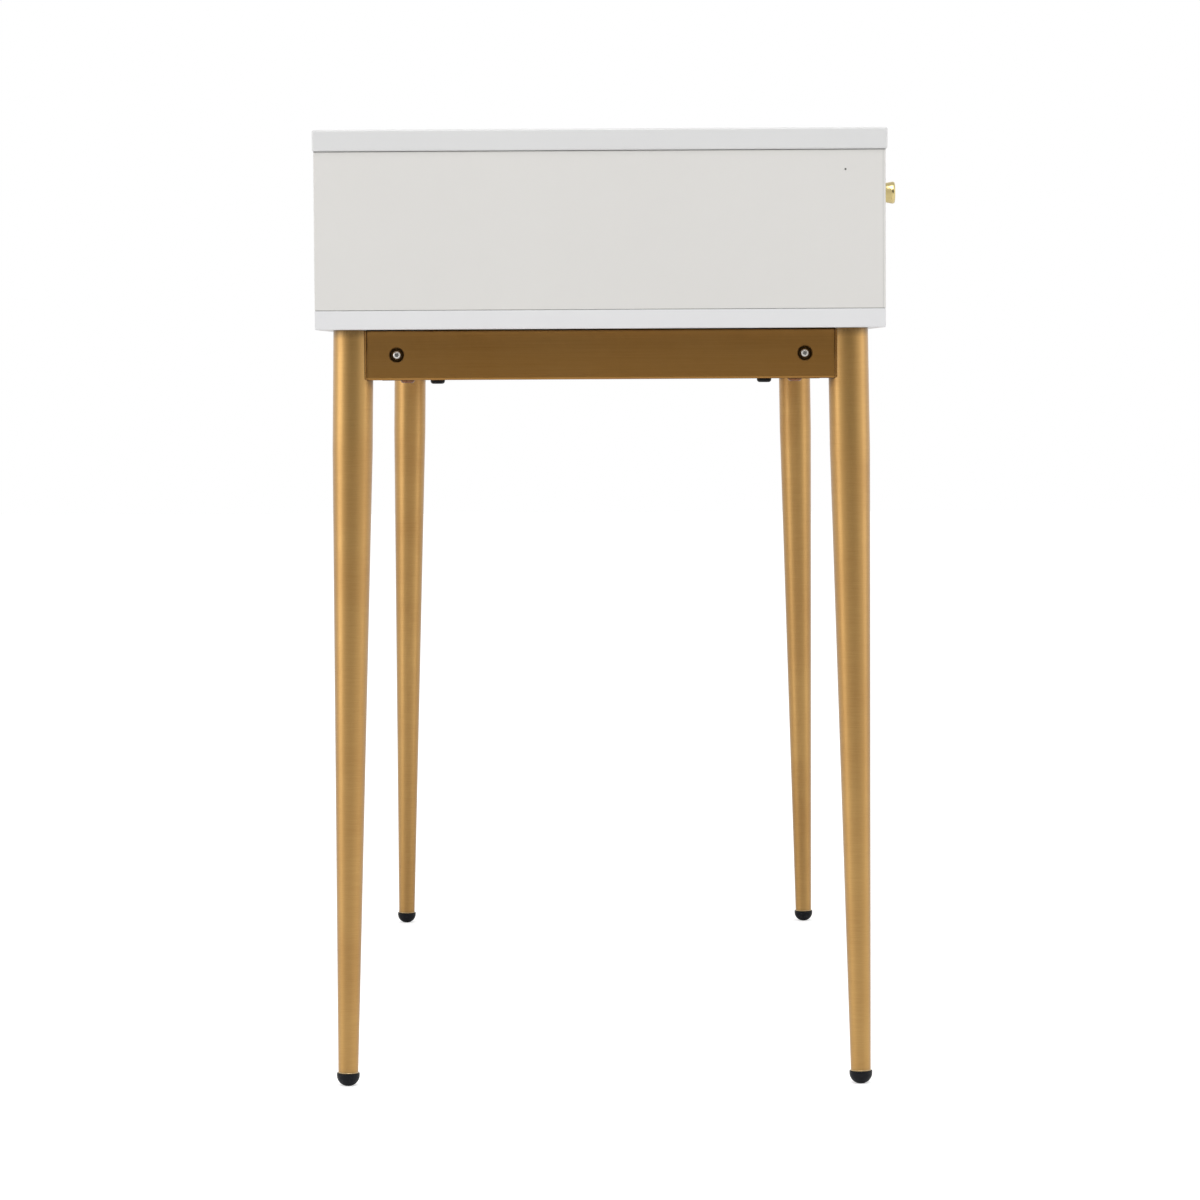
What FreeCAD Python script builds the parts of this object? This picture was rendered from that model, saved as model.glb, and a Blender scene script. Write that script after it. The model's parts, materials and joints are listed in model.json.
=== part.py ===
# Vanity table: white cabinet with two drawers and a flip-up mirror lid, on a gold steel frame.
# +X is the table's right, the drawers open towards -Y, +Z is up, and the floor is Z = 0.
# The origin is under the middle of the whole table, knobs included.
import FreeCAD, Part
import os
import Sketcher

doc = FreeCAD.newDocument("VanityTable")
Vec = FreeCAD.Vector
ROT = {"x": FreeCAD.Rotation(Vec(0, 1, 0), 90),
       "-x": FreeCAD.Rotation(Vec(0, 1, 0), -90),
       "y": FreeCAD.Rotation(Vec(1, 0, 0), -90),
       "-y": FreeCAD.Rotation(Vec(1, 0, 0), 90),
       "z": FreeCAD.Rotation(),
       "-z": FreeCAD.Rotation(Vec(1, 0, 0), 180)}

DIMENSIONS = {
    # whole table
    "table_width": 1000, "table_depth": 453, "table_height": 762, "mid_y": 8.75,
    # cabinet boards
    "top_thick": 17, "board_thick": 15, "back_thick": 12, "cabinet_tall": 125,
    "end_inset": 1.5, "front_inset": 1.5, "rear_inset": 1, "edge_round": 1.6, "front_round": 1,
    "divider_x": 163,
    # lid in the top
    "window_half": 170, "window_front": 180, "window_rear": 160, "lid_gap": 1.5,
    "hinge_gap": 7, "knuckle_r": 3, "pin_r": 1.25, "pin_play": 0.05, "leaf_thick": 1.2,
    "knuckle_long": 30, "knuckle_play": 0.2, "knuckle_room": 0.3, "knuckles": 11,
    "axis_drop": 3, "leaf_lift": 0.5, "hinge_screw_step": 56, "hinge_screw_z": 6, "notch_r": 15,
    "mirror_half": 125, "mirror_front": 150, "mirror_rear": 118, "mirror_thick": 4,
    "clip_wide": 14, "clip_thick": 1.2, "clip_over": 6,
    "clip_x": 70, "clip_room": 10,
    "stay_r": 84, "stay_wide": 8, "stay_thick": 1.5, "stay_x": 150, "stay_behind": 36,
    "stay_foot_wide": 16, "stay_foot_long": 30, "stay_foot_back": 14, "stay_screw_in": 6,
    "stay_screw_x": 11, "keeper_turn": 17.5, "keeper_long": 17, "keeper_wide": 24,
    "keeper_tall": 8, "keeper_lead": 12, "slot_play": 0.5,
    # drawers
    "front_gap": 2, "slide_thick": 12.7, "drawer_deep": 360, "drawer_side": 12, "drawer_tall": 90,
    "drawer_lift": 10, "bottom_thick": 4, "groove_deep": 5, "bottom_lift": 8,
    "knob_drop": 27.5, "knob_screw_r": 2, "knob_thread": 9, "knob_screw_head_r": 4,
    "knob_screw_head": 2.4,
    # drawer slides: sheet thickness, length, and half heights of the three nested channels
    "slide_long": 350, "slide_start": 2, "sheet": 1.2,
    "outer_half": 17.5, "outer_deep": 9, "mid_half": 12.6, "mid_from": 2.2, "mid_deep": 11,
    "inner_half": 7.8, "inner_from": 4.6,
    "slide_screw_front": 32, "slide_screw_mid": 160, "slide_screw_rear": 320,
    # steel frame
    "rail_tall": 40, "rail_wide": 25, "rail_wall": 1.5, "long_rail_y": 162,
    "leg_x": 468, "leg_y": 196.8, "leg_run_out": 9, "leg_r": 16, "leg_toe_r": 8,
    "leg_wall": 1.5, "leg_straight": 95, "leg_gap": 0.4, "leg_tilt": 1.2053, "foot_trim": 0.3,
    "foot_tall": 10.5, "foot_r": 9.2, "foot_flat_round": 8.8, "foot_plug": 14,
    # fasteners: radii, lengths, head sizes and where they sit
    "wood_screw_r": 1.5, "wood_head_r": 2.75, "wood_sink": 1.2, "hinge_screw": 14,
    "stay_screw": 12, "slide_screw": 11, "slide_screw_r": 1.6, "slide_head_r": 3.1,
    "screw_z": 20, "dimple_r": 6.2, "dimple_floor_r": 4.5, "dimple_deep": 3,
    "rail_screw_r": 2.5, "rail_screw": 38, "rail_head_r": 4, "rail_head_rim": 1.4,
    "rail_head_top_r": 2.6, "rail_head_dome": 1.2, "cross_long": 4.2, "cross_wide": 0.9,
    "cross_deep": 2, "wide_cross_long": 5, "wide_cross_wide": 1.2, "cross_floor": 1.2,
    "bolt_r": 3, "bolt_head_r": 5.75, "bolt_head": 3, "bolt_head_rim": 1.8,
    "bolt_head_taper": 1.4, "bolt_socket_r": 2, "bolt_socket": 2, "bolt_long": 51,
    "insert_r": 4.5, "insert_long": 12, "end_bolt_y": 130, "long_bolt_x": 305, "plug_long": 20,
    "cam_r": 7.5, "cam_deep": 12.5, "cam_drop": 34, "outer_cam_y": 180, "inner_cam_y": 200,
    "cam_cross_long": 9, "cam_cross_wide": 1.6, "cam_cross_deep": 1.5,
    "dowel_r": 3, "dowel_tail": 3, "dowel_thread_r": 2.5, "dowel_thread": 11,
    "confirmat_y": 110, "confirmat_r": 2.5, "confirmat_long": 48, "confirmat_head_r": 4.5,
    "confirmat_head": 4, "confirmat_socket_r": 2, "confirmat_socket": 2.4,
    "pilot_y": 193.4, "pilot_drop": 15.8, "pilot_r": 0.8, "pilot_deep": 1,
}
# turned knob: radius and height above its foot of each step of its half profile
KNOB_PROFILE = [(5.2, 0), (5.4, 3.5), (6.6, 6.5), (7.7, 10), (8.4, 13), (9, 16), (9.15, 17.2),
                (8.9, 18.2), (8.2, 18.8), (7.2, 19)]
for number, (radius, height) in enumerate(KNOB_PROFILE):
    DIMENSIONS["knob_radius_%d" % number] = radius
    DIMENSIONS["knob_height_%d" % number] = height

NEARLY = 0.01


def make_sheet():
    """Put every driving dimension in one spreadsheet, each with its own alias."""
    sheet = doc.addObject("Spreadsheet::Sheet", "Dims")
    for row, (alias, value) in enumerate(DIMENSIONS.items(), start=1):
        sheet.set("A%d" % row, alias)
        sheet.set("B%d" % row, str(value))
        sheet.setAlias("B%d" % row, alias)
    doc.recompute()


def dims(text):
    """Turn the bare words of an expression into cells of the sheet."""
    out, word = "", ""
    for char in str(text) + " ":
        if char.isalnum() or char in "_.":
            word += char
            continue
        out += ("Dims." + word if word in DIMENSIONS else word) + char
        word = ""
    return out.strip()


def bind(obj, **sizes):
    for name, text in sizes.items():
        obj.setExpression(name, dims(text))
    return obj


def place(obj, base, turn="z"):
    """Bind an object's base point to the sheet and give it a fixed turn."""
    rotation = ROT[turn] if isinstance(turn, str) else turn
    obj.Placement = FreeCAD.Placement(Vec(0, 0, 0), rotation)
    for axis, text in zip("xyz", base):
        obj.setExpression("Placement.Base." + axis, dims(text))
    return obj


def labelled(obj, label):
    if label:
        obj.Label = label
    return obj


def box(size, base, label=None, turn="z"):
    obj = doc.addObject("Part::Box", "Box")
    bind(obj, Length=size[0], Width=size[1], Height=size[2])
    return labelled(place(obj, base, turn), label)


def cylinder(radius, height, base, turn="z", label=None):
    obj = doc.addObject("Part::Cylinder", "Cylinder")
    bind(obj, Radius=radius, Height=height)
    return labelled(place(obj, base, turn), label)


def cone(radius_1, radius_2, height, base, turn="z"):
    obj = doc.addObject("Part::Cone", "Cone")
    bind(obj, Radius1=radius_1, Radius2=radius_2, Height=height)
    return place(obj, base, turn)


def group(items, label=None):
    obj = doc.addObject("Part::Compound", "Group")
    obj.Links = items
    return labelled(obj, label)


def fuse(items, label=None):
    obj = doc.addObject("Part::MultiFuse", "Fuse")
    obj.Shapes = items
    obj.Refine = True
    return labelled(obj, label)


def cut(base, tools, label=None):
    obj = doc.addObject("Part::Cut", "Cut")
    obj.Base = base
    obj.Tool = tools[0] if len(tools) == 1 else group(tools)
    obj.Refine = True
    return labelled(obj, label)


def body(name):
    return doc.addObject("PartDesign::Body", name)


def origin_plane(owner, role):
    return next(item for item in owner.Origin.OriginFeatures if item.Role == role)


def outline(owner, plane, points, name="Sketch"):
    """Closed sketch of straight runs, each corner held by two dimensions from the origin."""
    sketch = owner.newObject("Sketcher::SketchObject", name)
    sketch.AttachmentSupport = [(origin_plane(owner, plane), "")]
    sketch.MapMode = "FlatFace"
    add_loop(sketch, points)
    return sketch


def add_loop(sketch, points):
    first = sketch.GeometryCount
    count = len(points)
    for number in range(count):
        start = Vec(10 + number, 5 * number + number ** 2, 0)
        after = (number + 1) % count
        end = Vec(10 + after, 5 * after + after ** 2, 0)
        sketch.addGeometry(Part.LineSegment(start, end), False)
    for number in range(count):
        after = first + (number + 1) % count
        sketch.addConstraint(Sketcher.Constraint("Coincident", first + number, 2, after, 1))
    for number, corner in enumerate(points):
        for kind, axis, text in (("DistanceX", -2, corner[0]), ("DistanceY", -1, corner[1])):
            if str(text) == "0":
                sketch.addConstraint(Sketcher.Constraint("PointOnObject", first + number, 1, axis))
                continue
            index = sketch.addConstraint(Sketcher.Constraint(kind, -1, 1, first + number, 1, 10.0))
            sketch.setExpression("Constraints[%d]" % index, dims(text))


def turned(name, points):
    """Body turned round its own Z axis from a half profile of (radius, height) corners."""
    owner = body(name)
    sketch = outline(owner, "XZ_Plane", points)
    turn = owner.newObject("PartDesign::Revolution", name + "Turn")
    turn.Profile = sketch
    turn.ReferenceAxis = (sketch, ["V_Axis"])
    turn.Angle = 360
    owner.Tip = turn
    return owner


def rectangle(low, high):
    return [(low[0], low[1]), (high[0], low[1]), (high[0], high[1]), (low[0], high[1])]


def padded(name, loops, height, base, plane="XY_Plane"):
    """Body padded from a sketch of one or more straight-sided loops."""
    owner = body(name)
    sketch = outline(owner, plane, loops[0])
    for loop in loops[1:]:
        add_loop(sketch, loop)
    pad = owner.newObject("PartDesign::Pad", name + "Pad")
    pad.Profile = sketch
    bind(pad, Length=height)
    owner.Tip = pad
    place(owner, base)
    return owner


def round_edges(owner, chosen, radius):
    """Round the edges of the body's tip for which chosen(edge) holds."""
    doc.recompute()
    blank = owner.Tip
    names = ["Edge%d" % number
             for number, edge in enumerate(blank.Shape.Edges, start=1) if chosen(edge)]
    rounded = owner.newObject("PartDesign::Fillet", owner.Name + "Round")
    rounded.Base = (blank, names)
    bind(rounded, Radius=radius)
    owner.Tip = rounded
    return owner


# Heights and faces used by several pieces, as expressions of the driving dimensions.
TOP_Z = "(table_height - top_thick)"
FLOOR_Z = "(table_height - top_thick - cabinet_tall)"
FRAME_Z = "(table_height - top_thick - cabinet_tall - board_thick)"
PANEL_X = "(table_width / 2 - end_inset)"
INNER_X = "(table_width / 2 - end_inset - board_thick)"
FRONT_Y = "(mid_y - table_depth / 2 + front_inset)"
BACK_Y = "(mid_y + table_depth / 2 - rear_inset)"
BOX_Y = "(mid_y - table_depth / 2 + front_inset + board_thick)"
BACK_IN_Y = "(mid_y + table_depth / 2 - rear_inset - back_thick)"
HINGE_Y = "(mid_y + window_rear - hinge_gap / 2)"
HINGE_Z = "(table_height - axis_drop)"
LID_REAR = "(mid_y + window_rear - hinge_gap)"
DRAWER_Z = "(table_height - top_thick - cabinet_tall + drawer_lift)"
SLIDE_Z = "(table_height - top_thick - cabinet_tall + drawer_lift + drawer_tall / 2)"
SIDES = (("left", -1), ("right", 1))
ENDS = (("front", -1), ("rear", 1))
CORNERS = [(end, side, sx, sy) for end, sy in ENDS for side, sx in SIDES]


def countersunk(base, turn, long, radius="wood_screw_r", head="wood_head_r"):
    """Countersunk wood screw whose head's face is at base and whose shank runs along turn."""
    return fuse([cone(head, radius, "wood_sink", base, turn),
                 cylinder(radius, long, base, turn)])


def cross_recess(size, base, along):
    """Two crossed slots in a screw's head, centred on base; along is the screw's own axis."""
    long, wide, deep = size
    pieces = []
    for first, second in ((long, wide), (wide, long)):
        spans = [first, second]
        spans.insert("xyz".index(along), deep)
        low = ["%s - (%s) / 2" % (at, span) for at, span in zip(base, spans)]
        pieces.append(box(spans, low))
    return pieces


def cam_fittings():
    """Steel dowels screwed into the top, and the cam nuts that pull them into the uprights."""
    places = [(PANEL_X + " - board_thick / 2", "outer_cam_y", INNER_X, "x", "-x"),
              ("divider_x + board_thick / 2", "inner_cam_y", "(divider_x + board_thick)",
               "-x", "x")]
    dowels, nuts, seats = [], [], []
    cam_z = TOP_Z + " - cam_drop"
    for centre_x, reach, face_x, way_right, way_left in places:
        for sign, way in ((1, way_right), (-1, way_left)):
            for row in (-1, 1):
                y = "mid_y + %d * %s" % (row, reach)
                x = "%d * (%s)" % (sign, centre_x)
                thread = cylinder("dowel_thread_r", "dowel_thread", (x, y, TOP_Z))
                shank = cylinder("dowel_r", "cam_drop + dowel_tail", (x, y, cam_z + " - dowel_tail"))
                dowels.append(fuse([shank, thread]))
                face = ("%d * %s" % (sign, face_x), y, cam_z)
                disc = cylinder("cam_r", "cam_deep", face, way)
                cross = cross_recess(("cam_cross_long", "cam_cross_wide", "2 * cam_cross_deep"),
                                     face, "x")
                nuts.append(cut(disc, cross + [dowels[-1]]))
                seats.append(disc)
    group(nuts, "cam_nuts")
    return group(dowels, "cam_dowels"), group(seats)


def confirmat_screws():
    """Flat-headed screws driven up through the bottom board; returns the holes they fill."""
    screws, seats = [], []
    for x in (PANEL_X + " - board_thick / 2", "divider_x + board_thick / 2"):
        for sign in (-1, 1):
            for row in (-1, 1):
                base = ("%d * (%s)" % (sign, x), "mid_y + %d * confirmat_y" % row, FRAME_Z)
                head = cone("confirmat_head_r", "confirmat_r", "confirmat_head", base)
                whole = fuse([head, cylinder("confirmat_r", "confirmat_long", base)])
                socket = cylinder("confirmat_socket_r", "confirmat_socket", base)
                screws.append(cut(whole, [socket]))
                seats.append(whole)
    group(screws, "confirmat_screws")
    return group(seats)


def slide_screw_row(face_x, way):
    """Three countersunk screws along one slide, from its web into the wood behind it."""
    return [countersunk((face_x, BOX_Y + " + " + along, SLIDE_Z), way, "slide_screw",
                        "slide_screw_r", "slide_head_r")
            for along in ("slide_screw_front", "slide_screw_mid", "slide_screw_rear")]


def channel(face_x, sign, start, deep, half, web_at):
    """One slide member: a web and two flanges, measured from the cabinet face inwards."""
    y = BOX_Y + " + slide_start"
    pieces = []

    def plate(from_x, to_x, low_z, high_z):
        low = "%s + %d * (%s)" % (face_x, sign, from_x if sign > 0 else to_x)
        size = ("(%s) - (%s)" % (to_x, from_x), "slide_long", "(%s) - (%s)" % (high_z, low_z))
        pieces.append(box(size, (low, y, SLIDE_Z + " + " + low_z)))

    plate(web_at, "%s + sheet" % web_at, "(-%s)" % half, half)
    plate(start, deep, "(%s - sheet)" % half, half)
    plate(start, deep, "(-%s)" % half, "(sheet - %s)" % half)
    return fuse(pieces)


def slides_of(side, sign):
    """Both ball-bearing slides of one drawer: cabinet, middle and drawer members and screws."""
    outer, middle, inner, cabinet_screws, drawer_screws = [], [], [], [], []
    wall_x = "%d * %s" % (sign, INNER_X)
    divider_x = "%d * (divider_x + board_thick)" % sign
    for face_x, way in ((wall_x, -sign), (divider_x, sign)):
        into_wood = "x" if way < 0 else "-x"
        into_drawer = "-x" if way < 0 else "x"
        cabinet_row = slide_screw_row("%s + %d * sheet" % (face_x, way), into_wood)
        drawer_row = slide_screw_row("%s + %d * (slide_thick - sheet)" % (face_x, way),
                                     into_drawer)
        outer.append(cut(channel(face_x, way, "0", "outer_deep", "outer_half", "0"), cabinet_row))
        middle.append(channel(face_x, way, "mid_from", "mid_deep", "mid_half", "mid_from"))
        inner.append(cut(channel(face_x, way, "inner_from", "slide_thick", "inner_half",
                                 "(slide_thick - sheet)"), drawer_row))
        cabinet_screws += cabinet_row
        drawer_screws += drawer_row
    group(outer, "%s_slide_cabinet_channels" % side)
    group(middle, "%s_slide_middle_channels" % side)
    group(inner, "%s_slide_drawer_channels" % side)
    screws = group(drawer_screws, "%s_slide_screws" % side)
    return cabinet_screws, screws


def knob(side, x):
    """Turned brass knob: a narrow foot that flares to a flat face with a rounded rim."""
    steps = range(len(KNOB_PROFILE))
    profile = [("knob_radius_%d" % step, "knob_height_%d" % step) for step in steps]
    profile = [("0", "0"), ("knob_radius_0", "0")] + profile[1:] + [("0", profile[-1][1])]
    z = TOP_Z + " - knob_drop"
    blank = place(turned("Knob" + side, profile), (x, FRONT_Y, z), "-y")
    shank = cylinder("knob_screw_r", "board_thick + knob_thread", (x, BOX_Y, z), "-y")
    head = cylinder("knob_screw_head_r", "knob_screw_head", (x, BOX_Y, z), "y")
    recess = cross_recess(("wide_cross_long", "wide_cross_wide", "2 * cross_floor"),
                          (x, BOX_Y + " + knob_screw_head", z), "y")
    screw = cut(fuse([shank, head]), recess, "%s_knob_screw" % side)
    cut(blank, [screw], "%s_knob" % side)
    return screw


def drawer(side, sign):
    """One drawer: rounded front, two sides, back, bottom in grooves, knob and slides."""
    cabinet_screws, screws = slides_of(side, sign)
    low_face = "divider_x + board_thick" if sign > 0 else "-(%s)" % INNER_X
    bay = "(%s - divider_x - board_thick)" % INNER_X
    centre = "%d * (%s + divider_x + board_thick) / 2" % (sign, INNER_X)
    knob_screw = knob(side, centre)
    front_size = ("%s - 2 * front_gap" % bay, "cabinet_tall - 2 * front_gap")
    loop = rectangle(("0", "0"), front_size)
    front = padded("Front" + side, [loop], "board_thick", ("0", "0", "0"), "XZ_Plane")
    face_y = NEARLY - DIMENSIONS["board_thick"]
    round_edges(front, lambda edge: edge.BoundBox.YMax < face_y, "front_round")
    place(front, ("%s + front_gap" % low_face, BOX_Y, FLOOR_Z + " + front_gap"))
    cut(front, [knob_screw], "%s_drawer_front" % side)
    box_low = "(%s + slide_thick)" % low_face
    box_wide = "(%s - 2 * slide_thick)" % bay
    groove_z = DRAWER_Z + " + bottom_lift"
    groove = box(("%s - 2 * drawer_side + 2 * groove_deep" % box_wide, "drawer_deep + 2",
                  "bottom_thick"), (box_low + " + drawer_side - groove_deep", BOX_Y + " - 1",
                                    groove_z))
    side_size = ("drawer_side", "drawer_deep", "drawer_tall")
    left_wall = box(side_size, (box_low, BOX_Y, DRAWER_Z))
    right_wall = box(side_size, (box_low + " + %s - drawer_side" % box_wide, BOX_Y, DRAWER_Z))
    cut(left_wall, [groove, screws], "%s_drawer_wall_left" % side)
    cut(right_wall, [groove, screws], "%s_drawer_wall_right" % side)
    box(("%s - 2 * drawer_side" % box_wide, "drawer_side",
         "drawer_tall - bottom_lift - bottom_thick"),
        (box_low + " + drawer_side", BOX_Y + " + drawer_deep - drawer_side",
         groove_z + " + bottom_thick"), "%s_drawer_back" % side)
    box(("%s - 2 * drawer_side + 2 * groove_deep" % box_wide, "drawer_deep", "bottom_thick"),
        (box_low + " + drawer_side - groove_deep", BOX_Y, groove_z), "%s_drawer_bottom" % side)
    return cabinet_screws


def piano_hinge():
    """Two leaves, their knuckles taken in turn along one pin, and the screws of each leaf."""
    step = DIMENSIONS["knuckle_long"]
    count = DIMENSIONS["knuckles"]
    first_x = "(-knuckles * knuckle_long / 2)"
    fixed, moving, fixed_room, moving_room = [], [], [], []
    for number in range(count):
        start = "%s + %d" % (first_x, number * step)
        knuckle = cylinder("knuckle_r", "knuckle_long - knuckle_play",
                           (start + " + knuckle_play / 2", HINGE_Y, HINGE_Z), "x")
        room = cylinder("knuckle_r + knuckle_room", "knuckle_long + knuckle_play",
                        (start + " - knuckle_play / 2", HINGE_Y, HINGE_Z), "x")
        own, other_room = (fixed, moving_room) if number % 2 == 0 else (moving, fixed_room)
        own.append(knuckle)
        other_room.append(room)
    pin_from = ("%s + knuckle_play / 2" % first_x, HINGE_Y, HINGE_Z)
    pin_long = "knuckles * knuckle_long - knuckle_play"
    pin = cylinder("pin_r", pin_long, pin_from, "x", "hinge_pin")
    bore = cylinder("pin_r + pin_play", pin_long, pin_from, "x")
    leaf_size = (pin_long, "leaf_thick", "top_thick - axis_drop - leaf_lift")
    leaf_z = TOP_Z + " + leaf_lift"
    rear_leaf = box(leaf_size, (pin_from[0], "mid_y + window_rear - leaf_thick", leaf_z))
    lid_leaf = box(leaf_size, (pin_from[0], LID_REAR, leaf_z))
    top_screws, lid_screws = [], []
    for number in (-2.5, -1.5, -0.5, 0.5, 1.5, 2.5):
        x = "%s * hinge_screw_step" % number
        z = TOP_Z + " + hinge_screw_z"
        top_screws.append(countersunk((x, "mid_y + window_rear - leaf_thick", z), "y",
                                      "hinge_screw"))
        lid_screws.append(countersunk((x, LID_REAR + " + leaf_thick", z), "-y", "hinge_screw"))
    fixed_blank = fuse([cut(rear_leaf, fixed_room)] + fixed)
    moving_blank = fuse([cut(lid_leaf, moving_room)] + moving)
    top_group = group(top_screws, "hinge_screws")
    cut(fixed_blank, [pin, top_group], "hinge_leaf_fixed")
    cut(moving_blank, [bore, group(lid_screws)], "hinge_leaf_lid")
    return top_group, lid_screws


def ring_about_hinge(play, start):
    """Flat ring band round the hinge's axis, as thick and wide as the stay plus its play."""
    outside = cylinder("stay_r + stay_wide / 2 + " + play, "stay_thick + 2 * " + play,
                       ("%s - %s" % (start, play), HINGE_Y, HINGE_Z), "x")
    inside = cylinder("stay_r - stay_wide / 2 - " + play, "stay_thick + 2 * %s + 2" % play,
                      ("%s - %s - 1" % (start, play), HINGE_Y, HINGE_Z), "x")
    return cut(outside, [inside])


def lid_stay():
    """Curved stay on the lid, a quarter of a ring, and the nylon keeper it slides through."""
    start = "(-stay_x)"
    reach = 110
    cut_x = start + " - 1"
    above = box(("stay_thick + 2", 2 * reach, reach), (cut_x, HINGE_Y + " - %d" % reach, TOP_Z))
    behind = box(("stay_thick + 2", reach, 2 * reach),
                 (cut_x, HINGE_Y + " + stay_behind", HINGE_Z + " - %d" % reach))
    band = cut(ring_about_hinge("0", start), [above, behind])
    foot_y = HINGE_Y + " - stay_r - stay_foot_back"
    foot_z = TOP_Z + " - stay_thick"
    foot = box(("stay_foot_wide", "stay_foot_long", "stay_thick"), (start, foot_y, foot_z))
    screws = [countersunk((start + " + stay_screw_x", "%s + %s" % (foot_y, along), foot_z), "z",
                          "stay_screw")
              for along in ("stay_screw_in", "stay_foot_long - stay_screw_in")]
    cut(fuse([band, foot]), [group(screws)], "lid_stay")
    slope = FreeCAD.Rotation(Vec(1, 0, 0), DIMENSIONS["keeper_turn"])
    lead = "(stay_r + keeper_lead)"
    corner_y = (HINGE_Y + " - %s * cos(keeper_turn * 1 deg)" % lead
                + " - keeper_tall / 2 * sin(keeper_turn * 1 deg)")
    corner_z = (HINGE_Z + " - %s * sin(keeper_turn * 1 deg)" % lead
                + " - keeper_tall / 2 * cos(keeper_turn * 1 deg)")
    block = box(("keeper_long", "keeper_wide", "keeper_tall"),
                ("-divider_x", corner_y, corner_z), turn=slope)
    cut(block, [ring_about_hinge("slot_play", start)], "lid_stay_keeper")
    return screws


def mirror(lid_screws):
    """Lid panel with a finger notch, the mirror under it, and the clips that hold the mirror."""
    low = ("lid_gap - window_half", "mid_y - window_front + lid_gap")
    high = ("window_half - lid_gap", LID_REAR)
    panel = padded("Lid", [rectangle(low, high)], "top_thick", ("0", "0", TOP_Z))
    rim_z = DIMENSIONS["top_thick"] - NEARLY
    round_edges(panel, lambda edge: edge.BoundBox.ZMin > rim_z, "front_round")
    notch = cylinder("notch_r", "top_thick + 2",
                     ("0", "mid_y - window_front + lid_gap", TOP_Z + " - 1"))
    cut(panel, [notch, lid_screws], "lid_panel")
    glass_z = TOP_Z + " - mirror_thick"
    box(("2 * mirror_half", "mirror_front + mirror_rear", "mirror_thick"),
        ("-mirror_half", "mid_y - mirror_front", glass_z), "mirror_glass")
    clips = []
    for row in (-1, 1):
        for edge_y, room_y in (("mid_y - mirror_front", "mid_y - mirror_front"),
                               ("mid_y + mirror_rear", "mid_y + mirror_rear - clip_room")):
            x = "%d * clip_x - clip_wide / 2" % row
            plate = box(("clip_wide", "2 * clip_over", "mirror_thick + clip_thick"),
                        (x, edge_y + " - clip_over", glass_z + " - clip_thick"))
            room = box(("clip_wide + 2", "clip_room", "mirror_thick + 1"),
                       (x + " - 1", room_y, glass_z))
            clips.append(cut(plate, [room]))
    group(clips, "mirror_clips")


def top_board(dowels, top_screws):
    """The table's top: one board with rounded edges and the lid's window."""
    half = "table_width / 2"
    outer = rectangle(("-" + half, "mid_y - table_depth / 2"), (half, "mid_y + table_depth / 2"))
    window = rectangle(("-window_half", "mid_y - window_front"),
                       ("window_half", "mid_y + window_rear"))
    board = padded("Top", [outer, window], "top_thick", ("0", "0", TOP_Z))
    reach = DIMENSIONS["window_half"] + 1

    def outside(edge):
        box_of = edge.BoundBox
        within = abs(box_of.XMin) < reach and abs(box_of.XMax) < reach
        return not within

    round_edges(board, outside, "edge_round")
    cut(board, [dowels, top_screws], "top_board")


def cabinet(dowels, seats, confirmats, slide_screws, frame_holes):
    """Side panels, dividers, bottom board, back panel and the fixed front between the drawers."""
    long = "(%s - %s)" % (BACK_Y, FRONT_Y)
    for side, sign in SIDES:
        x = PANEL_X + " - board_thick" if sign > 0 else "-" + PANEL_X
        panel = box(("board_thick", long, "cabinet_tall"), (x, FRONT_Y, FLOOR_Z))
        face_x = "%d * (%s + 1)" % (sign, PANEL_X)
        pilot = cylinder("pilot_r", "1 + pilot_deep",
                         (face_x, "mid_y - pilot_y", TOP_Z + " - pilot_drop"),
                         "-x" if sign > 0 else "x")
        cut(panel, [dowels, seats, confirmats, slide_screws, pilot], "side_panel_%s" % side)
        x = "divider_x" if sign > 0 else "-divider_x - board_thick"
        divider = box(("board_thick", "%s - %s" % (BACK_IN_Y, FRONT_Y), "cabinet_tall"),
                      (x, FRONT_Y, FLOOR_Z))
        cut(divider, [dowels, seats, confirmats, slide_screws], "divider_%s" % side)
    bottom = box(("2 * " + PANEL_X, long, "board_thick"), ("-" + PANEL_X, FRONT_Y, FRAME_Z))
    cut(bottom, [confirmats, *frame_holes], "bottom_board")
    box(("2 * " + INNER_X, "back_thick", "cabinet_tall"), ("-" + INNER_X, BACK_IN_Y, FLOOR_Z),
        "back_panel")
    box(("2 * divider_x", "board_thick", "cabinet_tall"), ("-divider_x", FRONT_Y, FLOOR_Z),
        "center_fascia")


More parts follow.
